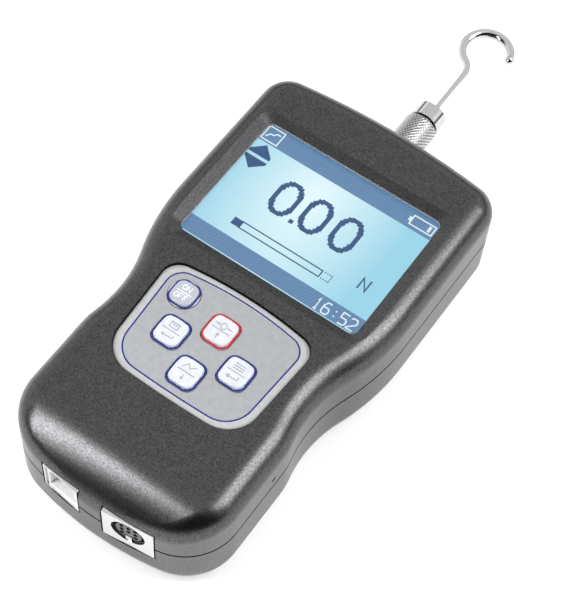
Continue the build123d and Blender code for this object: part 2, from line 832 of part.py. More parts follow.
shaft_end = sleeve_end - collar_stub - clear
shoulder_y = cell_face + cell_gap
with BuildPart() as load_shaft:
    with BuildSketch(load_line(shoulder_y)):
        Circle(shaft_radius)
    extrude(amount=shaft_end - shoulder_y)
    chamfer(load_shaft.faces().sort_by(Axis.Y)[-1].edges(), shaft_chamfer)
    with BuildSketch(load_line(shoulder_y)):
        Circle(shaft_shoulder_radius)
    extrude(amount=shaft_shoulder_thickness)
    with BuildSketch(load_line(shoulder_y)):
        Circle(stud_radius)
    extrude(amount=-cell_depth - 2 * cell_gap - nut_thickness - clear)

with BuildPart() as shaft_nut:
    with BuildSketch(load_line(cell_back - cell_gap)):
        RegularPolygon(nut_across_flats / 2, 6, major_radius=False)
        Circle(stud_radius + hold_gap, mode=Mode.SUBTRACT)
    extrude(amount=-nut_thickness)

with BuildPart() as knurled_sleeve:
    with BuildSketch(load_line(sleeve_start)):
        Circle(sleeve_radius)
    extrude(amount=sleeve_length)
    chamfer(knurled_sleeve.faces().sort_by(Axis.Y)[-1].edges(), sleeve_chamfer)
    chamfer(knurled_sleeve.faces().sort_by(Axis.Y)[0].edges(), sleeve_chamfer / 2)
    with BuildSketch(load_line(sleeve_start)):
        Circle(shaft_bore)
    extrude(amount=sleeve_length, mode=Mode.SUBTRACT)

with BuildPart() as hook_collar:
    with BuildSketch(load_line(collar_start)):
        Circle(collar_radius)
    extrude(amount=collar_length)
    with BuildSketch(load_line(collar_start).rotated((0, 0, collar_turn))):
        Rectangle(2 * collar_radius, 2 * collar_radius)
        Rectangle(2 * collar_radius, collar_flats, mode=Mode.SUBTRACT)
    extrude(amount=collar_length, mode=Mode.SUBTRACT)
    with BuildSketch(load_line(collar_start)):
        Circle(shaft_radius)
    extrude(amount=-collar_stub)
    with BuildSketch(load_line(collar_end)):
        Circle(shank_radius + hold_gap)
    extrude(amount=-wire_sink, mode=Mode.SUBTRACT)

bend_y = crown_y - crown_radius - hook_radius
neck_y = bend_y - sqrt((hook_radius + neck_radius) ** 2 - (hook_offset + neck_radius) ** 2)
neck_turn = degrees(acos((hook_offset + neck_radius) / (hook_radius + neck_radius)))
bend_turn = 180 + neck_turn - tip_angle
with BuildPart() as hook_wire:
    with BuildLine(Plane.XY.offset(shaft_height)) as route:
        shank = Line((0, collar_end - wire_sink), (0, neck_y))
        neck = CenterArc((-neck_radius, neck_y), neck_radius, 0, neck_turn)
        bend = CenterArc((hook_offset, bend_y), hook_radius, 180 + neck_turn, -bend_turn)
    quarter = 90
    crown_at = (quarter + neck_turn) / bend_turn
    for curve, along, radius in (
        (shank, 0, shank_radius),
        (shank, 1, shank_radius),
        (bend, crown_at, crown_radius),
        (bend, 1, tip_radius),
    ):
        with BuildSketch(Plane(origin=curve @ along, z_dir=curve % along)):
            Circle(radius)
    sweep(multisection=True)
    with Locations(bend @ 1):
        Sphere(ball_radius)

# ----------------------------------------------------------- fasteners, inserts
with BuildPart() as case_screws:
    with BuildSketch(Plane.XY.offset(case_head_sink)):
        with Locations(*case_screw_spots):
            Circle(case_screw_radius)
    extrude(amount=seam_low + case_screw_bite - case_head_sink)
    with BuildSketch(Plane.XY.offset(case_head_sink)):
        with Locations(*case_screw_spots):
            Circle(case_head_radius)
    extrude(amount=-case_head_height)

with BuildPart() as mount_inserts:
    with BuildSketch(at((0, window_y), 0)):
        with GridLocations(mount_spacing_x, mount_spacing_y, 2, 2):
            Circle(insert_radius)
            Circle(insert_bore, mode=Mode.SUBTRACT)
    extrude(amount=insert_length)

# ----------------------------------------------------------------------- cells
cell_pitch = 2 * battery_radius + battery_gap
bay_low = lower_end + cell_bay_from_end
bay_width = battery_count * cell_pitch + 2 * cradle_wall
bay_length = battery_length + 2 * battery_gap + 2 * cradle_wall
battery_axis = rear_inside + cradle_floor + battery_radius
with BuildPart() as cell_cradle:
    with BuildSketch(at((0, bay_low + bay_length / 2), rear_inside)):
        Rectangle(bay_width, bay_length)
    extrude(amount=battery_radius + cradle_floor)
    with BuildSketch(at((0, bay_low + bay_length / 2), rear_inside + cradle_floor)):
        Rectangle(bay_width - 2 * cradle_wall, bay_length - 2 * cradle_wall)
    extrude(amount=battery_radius, mode=Mode.SUBTRACT)

with BuildPart() as battery_cells:
    with BuildSketch(Plane.XZ.offset(-bay_low - cradle_wall - battery_gap)):
        with Locations((0, battery_axis)):
            with GridLocations(cell_pitch, 0, battery_count, 1):
                Circle(battery_radius)
    extrude(amount=-battery_length)

# ---------------------------------------------------------------------- export
parts = {
    "front_shell": front_shell.part,
    "rear_shell": rear_shell.part,
    "display_window": display_window.part,
    "lcd_panel": lcd_panel.part,
    "lcd_frame": lcd_frame.part,
    "backlight": backlight.part,
    "keypad_overlay": keypad_overlay.part,
    "main_board": main_board.part,
    "board_screws": board_screws.part,
    "key_switches": key_switches.part,
    "reset_switch": reset_switch.part,
    "usb_shield": usb_shield.part,
    "usb_core": usb_core.part,
    "din_shield": din_shield.part,
    "din_core": din_core.part,
    "load_cell": load_cell.part,
    "strain_gauges": strain_gauges.part,
    "cell_bracket": cell_bracket.part,
    "cell_screws": cell_screws.part,
    "bracket_screws": bracket_screws.part,
    "shaft_bush": shaft_bush.part,
    "load_shaft": load_shaft.part,
    "shaft_nut": shaft_nut.part,
    "knurled_sleeve": knurled_sleeve.part,
    "hook_collar": hook_collar.part,
    "hook_wire": hook_wire.part,
    "case_screws": case_screws.part,
    "mount_inserts": mount_inserts.part,
    "cell_cradle": cell_cradle.part,
    "battery_cells": battery_cells.part,
    **keys,
}
os.makedirs("parts", exist_ok=True)
for name, part in parts.items():
    part.label = name
    export_step(part, f"parts/{name}.step")
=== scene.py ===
# %% [markdown]
# A hand-held force gauge. The frame holds its shells, window, keys, sockets, load
# shaft and hook at their real size, with the display up and the hook towards +Y.
# This file gives those parts their finishes, and adds what is too fine for the
# solids: the lit display's picture, the prints on the keypad and keys, the knurl
# of the sleeve, and painted shade for the recesses of the screws and the holes of
# the round socket.

# %% load the frame
import math
import bmesh
import bpy
from mathutils import Euler, Matrix, Vector


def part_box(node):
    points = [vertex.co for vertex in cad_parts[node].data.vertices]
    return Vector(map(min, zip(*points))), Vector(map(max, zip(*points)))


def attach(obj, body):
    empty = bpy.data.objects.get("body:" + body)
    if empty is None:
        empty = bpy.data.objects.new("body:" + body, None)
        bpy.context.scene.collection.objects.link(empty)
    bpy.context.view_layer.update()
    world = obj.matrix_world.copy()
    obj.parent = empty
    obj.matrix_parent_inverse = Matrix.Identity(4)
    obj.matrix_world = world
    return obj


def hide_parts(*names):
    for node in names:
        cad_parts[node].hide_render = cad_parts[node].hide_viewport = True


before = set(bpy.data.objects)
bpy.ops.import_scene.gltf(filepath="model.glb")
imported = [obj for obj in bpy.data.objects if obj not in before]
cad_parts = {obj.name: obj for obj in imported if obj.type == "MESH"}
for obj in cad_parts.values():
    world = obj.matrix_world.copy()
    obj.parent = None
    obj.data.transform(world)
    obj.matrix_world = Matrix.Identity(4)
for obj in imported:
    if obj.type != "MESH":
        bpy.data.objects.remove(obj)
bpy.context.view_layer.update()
MM = 0.001

# %% [markdown]
# Every finish starts from the same place: a Principled shader with even values
# typed into its sockets. Grain comes from a Noise texture on Object coordinates,
# which are metres here, so a scale of 1000 makes one cell about a millimetre. A
# picture could be wrapped round each part instead, but noise has no seams and
# stays fine however close the camera comes.


# %% helpers that make a finish
def finish_of(name, colour, roughness, metallic=0.0, **sockets):
    """A Principled material with even values; returns it with its shader node."""
    material = bpy.data.materials.new(name)
    material.use_nodes = True
    shader = material.node_tree.nodes["Principled BSDF"]
    shader.inputs["Base Color"].default_value = (*colour, 1)
    shader.inputs["Roughness"].default_value = roughness
    shader.inputs["Metallic"].default_value = metallic
    for socket, value in sockets.items():
        shader.inputs[socket.replace("_", " ")].default_value = value
    return material, shader


def add_node(owner, kind, **inputs):
    """A new node in a material or world; its inputs go by name, or by number as i0, i1."""
    node = owner.node_tree.nodes.new(kind)
    for socket, value in inputs.items():
        target = node.inputs[int(socket[1:]) if socket[1:].isdigit() else socket.replace("_", " ")]
        if isinstance(value, bpy.types.NodeSocket):
            owner.node_tree.links.new(value, target)
        else:
            target.default_value = value
    return node


def math_node(owner, operation, *values):
    node = add_node(owner, "ShaderNodeMath", **{f"i{n}": value for n, value in enumerate(values)})
    node.operation = operation
    return node.outputs["Value"]


def place_of(material):
    return add_node(material, "ShaderNodeTexCoord").outputs["Object"]


def noise(material, scale, detail):
    return add_node(
        material, "ShaderNodeTexNoise", Vector=place_of(material), Scale=scale, Detail=detail
    ).outputs["Fac"]


def ramp(material, factor, low, high, low_colour, high_colour):
    """Colours between two stops of a factor."""
    node = add_node(material, "ShaderNodeValToRGB", Fac=factor)
    for stop, place, colour in zip(node.color_ramp.elements, (low, high), (low_colour, high_colour)):
        stop.position = place
        stop.color = (*colour, 1)
    return node.outputs["Color"]


def mixed(material, factor, first, second):
    return add_node(
        material, "ShaderNodeMixRGB", Fac=factor, Color1=first, Color2=second
    ).outputs["Color"]


def link(material, output, shader, socket):
    material.node_tree.links.new(output, shader.inputs[socket])


def bump(material, shader, height, strength, distance):
    node = add_node(material, "ShaderNodeBump", Height=height, Strength=strength, Distance=distance)
    link(material, node.outputs["Normal"], shader, "Normal")


def wear(material, shader, scale, low, high):
    """Small changes of roughness, as handling leaves them."""
    node = add_node(
        material, "ShaderNodeMapRange", Value=noise(material, scale, 3.0), To_Min=low, To_Max=high
    )
    link(material, node.outputs["Result"], shader, "Roughness")
    return node.outputs["Result"]


# %% [markdown]
# The case is sprayed with a dark metallic paint. Its flakes give a broad soft sheen
# with a visible grain, so the colour and the skin both follow one noise whose cells
# are a third of a millimetre. The joint of the two shells, the gaps round the two
# sockets and the small pin hole get painted shade. They could be cut as grooves, but
# at this size a groove is only a line of shade, so the paint goes dull and black inside
# boxes set there. The upright wall round the window gets a painted highlight: the paint
# there turns pale and matt, and stands in for the light line on that wall.

# %% case paint
# Boxes in millimetres: the first four get painted shade, black and dull; the lip box gets a painted
# highlight, pale and not metallic.
SEAM_SHADE = ((-40, -100, 18.34), (40, 100, 19.06))
USB_GAP_SHADE = ((-16.0, -98, 14.7), (-3.7, -90, 26.6))
DIN_GAP_SHADE = ((3.0, -98, 13.0), (18.2, -90, 26.6))
PIN_HOLE_SHADE = ((20, -64.85, 22.0), (40, -63.45, 23.0))
LIP = ((-27.7, -24.35, 31.9), (27.7, 18.05, 32.76))
GAP_SHADE_COLOUR = (0.001, 0.001, 0.001, 1)
LIP_HIGHLIGHT_COLOUR = (0.55, 0.51, 0.51, 1)


def within(material, low, high):
    """1 inside a box given by two corners in millimetres, and 0 outside it."""
    parts = add_node(material, "ShaderNodeSeparateXYZ", Vector=place_of(material)).outputs
    spans = [
        math_node(
            material, "COMPARE", parts[axis], (low[n] + high[n]) / 2 * MM, (high[n] - low[n]) / 2 * MM
        )
        for n, axis in enumerate("XYZ")
    ]
    return math_node(material, "MULTIPLY", math_node(material, "MULTIPLY", spans[0], spans[1]), spans[2])


case_paint, shader = finish_of("case_paint", (0.10, 0.10, 0.103), 0.3, metallic=1.0)
flecks = noise(case_paint, 2600, 4.0)
paint_colour = ramp(case_paint, flecks, 0.33, 0.70, (0.055, 0.055, 0.057), (0.135, 0.135, 0.138))
# Painted shade: black and dull inside the seam, socket-gap and pin-hole boxes.
gap_shade = within(case_paint, *SEAM_SHADE)
for low, high in (USB_GAP_SHADE, DIN_GAP_SHADE, PIN_HOLE_SHADE):
    gap_shade = math_node(case_paint, "MAXIMUM", gap_shade, within(case_paint, low, high))
# Painted highlight: the lip wall round the window goes pale and not metallic.
lip_highlight = within(case_paint, *LIP)
paint_colour = mixed(case_paint, gap_shade, paint_colour, GAP_SHADE_COLOUR)
link(case_paint, mixed(case_paint, lip_highlight, paint_colour, LIP_HIGHLIGHT_COLOUR), shader, "Base Color")
link(case_paint, math_node(case_paint, "SUBTRACT", 1.0, lip_highlight), shader, "Metallic")
worn = wear(case_paint, shader, 1500, 0.25, 0.32)
link(case_paint, math_node(case_paint, "MAXIMUM", worn, gap_shade), shader, "Roughness")
bump(case_paint, shader, noise(case_paint, 3600, 2.0), 0.42, 0.00003)
print("case paint:", len(case_paint.node_tree.nodes), "nodes")

# %% [markdown]
# Bright metals: the hook, its collar and the sleeve are plated and polished, and the
# socket shields, screws and shaft are bright steel. Metal shows little but what it
# mirrors, so one even roughness would look like a toy's. Each has faint handling
# marks instead, as a roughness that wanders between two values.


# %% metals
def bare_metal(name, colour, scale, low, high):
    """Metal whose roughness wanders from low to high, in marks of a given fineness."""
    material, shader = finish_of(name, colour, (low + high) / 2, metallic=1.0)
    wear(material, shader, scale, low, high)
    return material


chrome = bare_metal("chrome_plate", (0.63, 0.63, 0.64), 700, 0.05, 0.12)
knurl_chrome = bare_metal("knurl_chrome", (0.70, 0.70, 0.71), 1500, 0.2, 0.32)
steel = bare_metal("bright_steel", (0.62, 0.62, 0.63), 1200, 0.2, 0.38)
socket_metal = bare_metal("socket_plate", (0.68, 0.68, 0.68), 1500, 0.16, 0.32)
insert_brass = bare_metal("insert_brass", (0.72, 0.52, 0.24), 1500, 0.22, 0.4)
bush_brass = bare_metal("bush_brass", (0.66, 0.48, 0.22), 1500, 0.26, 0.42)
machined, shader = finish_of("machined_alloy", (0.72, 0.73, 0.75), 0.35, metallic=1.0)
bump(machined, shader, noise(machined, 3000, 1.0), 0.1, 0.00002)
print("metals:", [m.name for m in (chrome, knurl_chrome, steel, socket_metal, machined)])

# %% [markdown]
# Plastics: the keypad is a silver-grey printed film, the keys are glossy white domes,
# the socket bodies are moulded. Each has a light grain, and none is one even colour.


# %% plastics
def moulded(name, colour, roughness, grain=0.00002, **sockets):
    """Moulded plastic: a slight mottle of the colour, and a fine grain."""
    material, shader = finish_of(name, colour, roughness, **sockets)
    low = tuple(c * 0.93 for c in colour)
    high = tuple(min(1.0, c * 1.06) for c in colour)
    link(material, ramp(material, noise(material, 600, 3.0), 0.3, 0.7, low, high), shader, "Base Color")
    bump(material, shader, noise(material, 4000, 2.0), 0.3, grain)
    return material


keypad_film = moulded("keypad_film", (0.38, 0.39, 0.405), 0.38, grain=0.00003)
film_pale = moulded("film_pale", (0.50, 0.50, 0.50), 0.38, grain=0.00003)
key_white = moulded("key_white", (0.72, 0.74, 0.79), 0.16, grain=0.000003)
key_silver = moulded("key_silver", (0.48, 0.50, 0.56), 0.2, grain=0.000005)
ivory = moulded("ivory_plastic", (0.93, 0.93, 0.92), 0.35)
insert_grey = moulded("insert_grey", (0.10, 0.102, 0.106), 0.4)
black_plastic = moulded("black_plastic", (0.012, 0.012, 0.013), 0.45)
white_plastic = moulded("white_plastic", (0.75, 0.75, 0.73), 0.4)
diffuser = moulded("diffuser", (0.85, 0.88, 0.88), 0.3)
board_green = moulded("board_green", (0.02, 0.13, 0.05), 0.35)
gauge_film = moulded("gauge_film", (0.55, 0.32, 0.08), 0.3)
cell_wrap = moulded("cell_wrap", (0.06, 0.26, 0.16), 0.25)
print("finishes so far:", len(bpy.data.materials))

# %% [markdown]
# The window is a clear acrylic pane with a coating that cuts its reflections. A thin
# sheet could be faked with a see-through mix, but the pane is a solid with two real
# faces, so full transmission is right, and a low specular level is the coating.

# %% window glass
window_glass, shader = finish_of(
    "window_glass", (1.0, 1.0, 1.0), 0.02, IOR=1.45, Transmission_Weight=1.0, Specular_IOR_Level=0.2
)
print("window glass, IOR:", round(shader.inputs["IOR"].default_value, 2))

# %% [markdown]
# The solids come with no finish of their own. A table says what each is made of, by
# its node's name, so a later change of finish is a change of one word.

# %% dress the CAD nodes
node_finish = {
    "front_shell": case_paint, "rear_shell": case_paint, "display_window": window_glass,
    "lcd_frame": white_plastic, "backlight": diffuser, "keypad_overlay": keypad_film,
    "main_board": board_green, "board_screws": steel, "key_switches": black_plastic,
    "reset_switch": black_plastic, "usb_shield": socket_metal, "usb_core": ivory,
    "din_shield": socket_metal, "din_core": insert_grey, "load_cell": machined,
    "strain_gauges": gauge_film, "cell_bracket": machined, "cell_screws": steel,
    "bracket_screws": steel, "shaft_bush": bush_brass, "case_screws": steel,
    "mount_inserts": insert_brass, "cell_cradle": black_plastic, "battery_cells": cell_wrap,
    "load_shaft": steel, "shaft_nut": steel, "knurled_sleeve": knurl_chrome,
    "hook_collar": chrome, "hook_wire": chrome, "key_zero": key_white, "key_left": key_white,
    "key_right": key_white, "key_lower": key_white, "key_power": key_silver, "lcd_panel": diffuser,
}
for node, material in node_finish.items():
    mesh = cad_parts[node].data
    mesh.materials.clear()
    mesh.materials.append(material)
print("dressed", len(node_finish), "nodes of", len(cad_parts))

# %% [markdown]
# Prints and small pieces are built with bmesh and put where they belong in their
# mesh, so each object stays at the origin. A print is a slab a few hundredths of a
# millimetre thick that lies on what it is printed on. It could be painted by the
# shader, but a mesh keeps a sharp edge from near by. No operator gives a bent line
# an even width, so stroke sets four points at each bend, on the line that halves
# it, and joins them up.


# %% helpers for pieces
def finished(name, shape, material, body):
    """Turns a bmesh into a piece that rides on a body."""
    bmesh.ops.recalc_face_normals(shape, faces=shape.faces)
    print(name, "faces:", len(shape.faces), "open edges:", sum(e.is_boundary for e in shape.edges))
    mesh = bpy.data.meshes.new(name)
    shape.to_mesh(mesh)
    shape.free()
    mesh.materials.append(material)
    item = bpy.data.objects.new(name, mesh)
    bpy.context.scene.collection.objects.link(item)
    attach(item, body)
    return item


def slab(shape, x, y, width, height, turn=0.0, level=0.0, thick=0.02):
    """A flat bar, in millimetres, centred on x and y, standing on a level."""
    matrix = (
        Matrix.Translation((x * MM, y * MM, (level + thick / 2) * MM))
        @ Matrix.Rotation(math.radians(turn), 4, "Z")
        @ Matrix.Diagonal((width * MM, height * MM, thick * MM, 1))
    )
    bmesh.ops.create_cube(shape, size=1, matrix=matrix)


SHARPEST_BEND = 0.4


def stroke(shape, points, width, level, thick=0.02):
    """One line of even width with mitred bends through points, in millimetres."""
    closed = points[0] == points[-1]
    spots = [Vector(p) for p in (points[:-1] if closed else points)]
    count = len(spots)
    rims = []
    for index, spot in enumerate(spots):
        before = (spot - spots[index - 1]).normalized() if closed or index else None
        after = (spots[(index + 1) % count] - spot).normalized() if closed or index < count - 1 else None
        before, after = before or after, after or before
        across = Vector((-(before + after).y, (before + after).x)).normalized()
        across *= width / 2 / max(SHARPEST_BEND, across.dot(Vector((-after.y, after.x))))
        rims.append([
            shape.verts.new(((spot.x + side * across.x) * MM, (spot.y + side * across.y) * MM, z * MM))
            for side, z in ((1, level), (-1, level), (-1, level + thick), (1, level + thick))
        ])
    for index in range(count if closed else count - 1):
        near, far = rims[index], rims[(index + 1) % count]
        for corner in range(4):
            other = (corner + 1) % 4
            shape.faces.new((near[corner], near[other], far[other], far[corner]))
    if not closed:
        shape.faces.new(rims[0][::-1])
        shape.faces.new(rims[-1])


def outline_face(shape, outline, level):
    """A face through points given in millimetres, looking up."""
    corners = [shape.verts.new((x * MM, y * MM, level * MM)) for x, y in outline]
    face = shape.faces.new(corners)
    face.normal_update()
    if face.normal.z < 0:
        face.normal_flip()
    return face


def ring(shape, outline, width, level, thick=0.02):
    """A closed line inside an outline of points, in millimetres."""
    face = outline_face(shape, outline, level + thick)
    border = bmesh.ops.inset_region(
        shape, faces=[face], thickness=width * MM, use_boundary=True, use_even_offset=True
    )
    bmesh.ops.delete(shape, geom=[face], context="FACES")
    bmesh.ops.solidify(shape, geom=border["faces"], thickness=thick * MM)


def plate(shape, outline, level, thick=0.02):
    """A filled flat shape from an outline of points, in millimetres."""
    face = outline_face(shape, outline, level + thick)
    bmesh.ops.solidify(shape, geom=[face], thickness=thick * MM)


def in_mm(corners):
    return [[v / MM for v in corner] for corner in corners]


def middle_of(node):
    low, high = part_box(node)
    return [(a + b) / 2 / MM for a, b in zip(low, high)]


def top_of(node):
    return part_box(node)[1][2] / MM


# %% [markdown]
# The display is lit from behind: a pale blue-green field, brightest left of and above
# its middle, with two darker blue bands across it. It glows, so its shader is
# emission on a dark surface without gloss. The glow falls off with the distance from
# one spot, squashed into an oval, and a Wave texture gives the bands the panel's
# fine upright lines.

# %% display picture
screen_x, screen_y, _ = middle_of("lcd_panel")
screen_level = top_of("lcd_panel")
WINDOW = (55.0, 42.0)
LOW_BAND, HIGH_BAND = (-19.8, -14.6), (15.5, WINDOW[1] / 2 + 1)
GLOW_SPOT, GLOW_SQUASH = (-5, 8), (1.5, 0.75, 1)
GLOW_START, GLOW_END = 0.002, 0.040
LINE_SCALE = 1000 / 1.8
FILM = 0.01


def glowing(name, strength=0.9, surface=(0.02, 0.02, 0.02), **sockets):
    """A finish that gives light and has hardly any surface."""
    return finish_of(
        name, surface, 0.5, Specular_IOR_Level=0.0, Emission_Strength=strength, **sockets
    )


field_light, shader = glowing("field_light", strength=1.0)
place = add_node(
    field_light, "ShaderNodeMapping", Vector=place_of(field_light), Scale=GLOW_SQUASH,
    Location=(
        -(screen_x + GLOW_SPOT[0]) * MM * GLOW_SQUASH[0], -(screen_y + GLOW_SPOT[1]) * MM * GLOW_SQUASH[1],
        -screen_level * MM,
    ),
)
reach = add_node(field_light, "ShaderNodeVectorMath", i0=place.outputs["Vector"])
reach.operation = "LENGTH"
falloff = add_node(
    field_light, "ShaderNodeMapRange", Value=reach.outputs["Value"], From_Min=GLOW_START, From_Max=GLOW_END
)
colour = ramp(field_light, falloff.outputs["Result"], 0.0, 1.0, (0.76, 0.95, 1.0), (0.30, 0.66, 0.82))
link(field_light, colour, shader, "Emission Color")

band_light, shader = glowing("band_light")
lines = add_node(
    band_light, "ShaderNodeTexWave", Vector=place_of(band_light), Scale=LINE_SCALE, Distortion=0.0
)
shade = ramp(band_light, lines.outputs["Fac"], 0.0, 1.0, (0.035, 0.15, 0.35), (0.17, 0.34, 0.56))
link(band_light, shade, shader, "Emission Color")

ink_dark, _ = glowing("ink_dark", surface=(0.01, 0.012, 0.02), Emission_Color=(0.006, 0.075, 0.22, 1))
ink_light, _ = glowing("ink_light", Emission_Color=(0.80, 0.95, 1.0, 1))

shape = bmesh.new()
slab(shape, screen_x, screen_y, WINDOW[0] + 2, WINDOW[1] + 2, level=screen_level, thick=FILM)
finished("display_field", shape, field_light, "base")
shape = bmesh.new()
for low, high in (HIGH_BAND, LOW_BAND):
    slab(
        shape, screen_x, screen_y + (low + high) / 2, WINDOW[0] + 2, high - low,
        level=screen_level + FILM, thick=FILM,
    )
finished("display_bands", shape, band_light, "base")

# %% [markdown]
# The panel draws in square cells. The big figures are slim ovals with slightly square
# shoulders. A font would give smooth edges, so they are drawn as the panel does it:
# a cell is dark where its middle lies between the outer oval and the inner one, and
# each row's dark cells become one bar, which gives the stepped edge.

# %% display figures
INK_LEVEL = screen_level + 0.02
CELL = WINDOW[0] / 128
LIFT = 1.1
FIGURE_HALF, FIGURE_STROKE = (3.85, 5.95), 1.5
FIGURE_COLUMNS, FIGURE_MIDDLE = (-10.5, -1.0, 8.5), 2.68 + LIFT
SQUARENESS = 2.25


def inside_oval(x, y, half_x, half_y):
    return abs(x / half_x) ** SQUARENESS + abs(y / half_y) ** SQUARENESS < 1


def cell_bars(shape, test, x0, y0, columns, rows):
    """Bars over the cells of each row for which a test of the cell's middle holds."""
    for row in range(rows):
        y = (row + 0.5) * CELL
        start = None
        for column in range(columns + 1):
            dark = column < columns and test((column + 0.5) * CELL, y)
            if dark and start is None:
                start = column
            if start is not None and not dark:
                middle = (start + column) / 2 * CELL
                slab(
                    shape, screen_x + x0 + middle, screen_y + y0 + y, (column - start) * CELL, CELL,
                    level=INK_LEVEL,
                )
                start = None


def nought(shape, middle_x):
    half_x, half_y = FIGURE_HALF
    columns, rows = round(2 * half_x / CELL) + 1, round(2 * half_y / CELL) + 1

    def dark(x, y):
        x -= columns * CELL / 2
        y -= rows * CELL / 2
        return inside_oval(x, y, half_x, half_y) and not inside_oval(
            x, y, half_x - FIGURE_STROKE, half_y - FIGURE_STROKE
        )

    cell_bars(shape, dark, middle_x - columns * CELL / 2, FIGURE_MIDDLE - rows * CELL / 2, columns, rows)


def on_screen(points, lift=LIFT):
    return [(x + screen_x, y + screen_y + lift) for x, y in points]


def dot(shape, x, y, width, height, lift=LIFT):
    slab(shape, screen_x + x, screen_y + y + lift, width, height, level=INK_LEVEL)


def frame_line(left, top, right, low):
    return [(left, top), (right, top), (right, low), (left, low), (left, top)]


UP_ARROW = [(-24.5, 13.85), (-21.1, 10.6), (-21.1, 9.75), (-27.85, 9.75), (-27.85, 10.6)]
DOWN_ARROW = [(-24.5, 4.85), (-21.1, 8.0), (-21.1, 8.75), (-27.85, 8.75), (-27.85, 8.0)]
UNIT_SIGN = [(19.7, -9.0), (19.7, -5.3), (21.9, -8.8), (21.9, -5.1)]
BAR_TOP, BAR_LOW = -9.9, -12.05

shape = bmesh.new()
for middle_x in FIGURE_COLUMNS:
    nought(shape, middle_x)
dot(shape, -5.5, -2.4, 1.25, 1.25)
plate(shape, on_screen(UP_ARROW), INK_LEVEL)
plate(shape, on_screen(DOWN_ARROW), INK_LEVEL)
dot(shape, -16.6, -10.97, 2.85, 2.35)
stroke(shape, on_screen(frame_line(-15.4, BAR_TOP, 9.85, BAR_LOW)), 0.38, INK_LEVEL)
for step in range(4):
    for y in (BAR_TOP, BAR_LOW):
        dot(shape, 10.65 + step * 0.7, y, CELL * 0.9, CELL * 0.8)
for step in range(3):
    dot(shape, 12.85, -10.4 - step * 0.6, CELL * 0.8, CELL * 0.8)
stroke(shape, on_screen(UNIT_SIGN), 0.5, INK_LEVEL)
finished("display_figures", shape, ink_dark, "base")

# %% [markdown]
# The white marks in the bands are the graph and battery icons and the clock. They
# are thin enough to be strokes through a few points. The clock's figures are given
# in a square of side one, and are then stretched to their height and width.

# %% display marks
ICON_LINE = 0.4
CLOCK_LEFT, CLOCK_FOOT, CLOCK_PITCH, CLOCK_SIZE = 13.3, -19.9, 2.65, (1.9, 3.5)
CLOCK_FIGURES = {
    "1": [[(0.3, 0.75), (0.5, 1), (0.5, 0)], [(0.25, 0), (0.75, 0)]],
    "2": [[(0, 0.85), (0.2, 1), (0.8, 1), (1, 0.8), (1, 0.6), (0, 0.1), (0, 0), (1, 0)]],
    "5": [[(1, 1), (0, 1), (0, 0.55), (0.8, 0.55), (1, 0.4), (1, 0.15), (0.8, 0), (0, 0)]],
    "6": [[
        (0.9, 1), (0.3, 1), (0, 0.7), (0, 0.15), (0.2, 0), (0.8, 0), (1, 0.15), (1, 0.4), (0.8, 0.55),
        (0, 0.55),
    ]],
    ":": [[(0.5, 0.66), (0.5, 0.79)], [(0.5, 0.2), (0.5, 0.33)]],
}
GRAPH_LINE = [(-26.8, 16.8), (-25.9, 18.2), (-25.0, 18.2), (-24.3, 19.1), (-23.2, 19.1)]

shape = bmesh.new()
stroke(shape, on_screen(frame_line(-27.5, 20.4, -22.5, 15.8), 0.4), ICON_LINE, INK_LEVEL)
stroke(shape, on_screen(GRAPH_LINE, 0.4), 0.42, INK_LEVEL)
stroke(shape, on_screen(frame_line(19.75, 19.35, 26.5, 16.3), 0.5), ICON_LINE, INK_LEVEL)
dot(shape, 19.2, 18.3, 0.7, 1.4, lift=0)
dot(shape, 25.2, 18.35, 0.8, 2.0, lift=0)
for slot, figure in enumerate("16:52"):
    left = CLOCK_LEFT + slot * CLOCK_PITCH
    for line in CLOCK_FIGURES[figure]:
        points = [(left + CLOCK_SIZE[0] * x, CLOCK_FOOT + CLOCK_SIZE[1] * y) for x, y in line]
        stroke(shape, on_screen(points, 0.6), 0.42, INK_LEVEL)
finished("display_marks", shape, ink_light, "base")

# %% [markdown]
# The keypad film has a paler rim, a thin dark-blue line inside it, and a coloured
# line round each key. Each is a ring: one outline is filled, inset by the line's
# width, and what lies inside is taken out. The outlines have the film's barrel shape
# and the keys' pillow shape, so a long straight run gets points of its own to bow.

# %% keypad outlines
print_blue = moulded("print_blue", (0.004, 0.016, 0.20), 0.35)
print_red = moulded("print_red", (0.50, 0.015, 0.02), 0.3)
print_grey = moulded("print_grey", (0.40, 0.41, 0.46), 0.35)
film_level = top_of("keypad_overlay")
film_low, film_high = in_mm(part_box("keypad_overlay"))


def soft_polygon(corners, count=10):
    """Rounds each corner (x, y, radius) of a polygon with a bend of that radius."""
    points = []
    total = len(corners)
    for index, (x, y, radius) in enumerate(corners):
        here = Vector((x, y))
        before = Vector(corners[index - 1][:2]) - here
        after = Vector(corners[(index + 1) % total][:2]) - here
        angle = before.angle(after)
        reach = radius / math.tan(angle / 2)
        start = here + before.normalized() * reach
        end = here + after.normalized() * reach
        halfway = (before.normalized() + after.normalized()).normalized()
        middle = here + halfway * radius / math.sin(angle / 2)
        first = start - middle
        sweep = first.angle_signed(end - middle)
        for step in range(count + 1):
            turn = Matrix.Rotation(-sweep * step / count, 2)
            spot = middle + turn @ first
            points.append((spot.x, spot.y))
    return points


def divided(points, step=1.5):
    """Adds points on an outline's long straight runs."""
    result = []
    for (x0, y0), (x1, y1) in zip(points, points[1:] + points[:1]):
        count = max(1, round(math.hypot(x1 - x0, y1 - y0) / step))
        result += [(x0 + (x1 - x0) * n / count, y0 + (y1 - y0) * n / count) for n in range(count)]
    return result


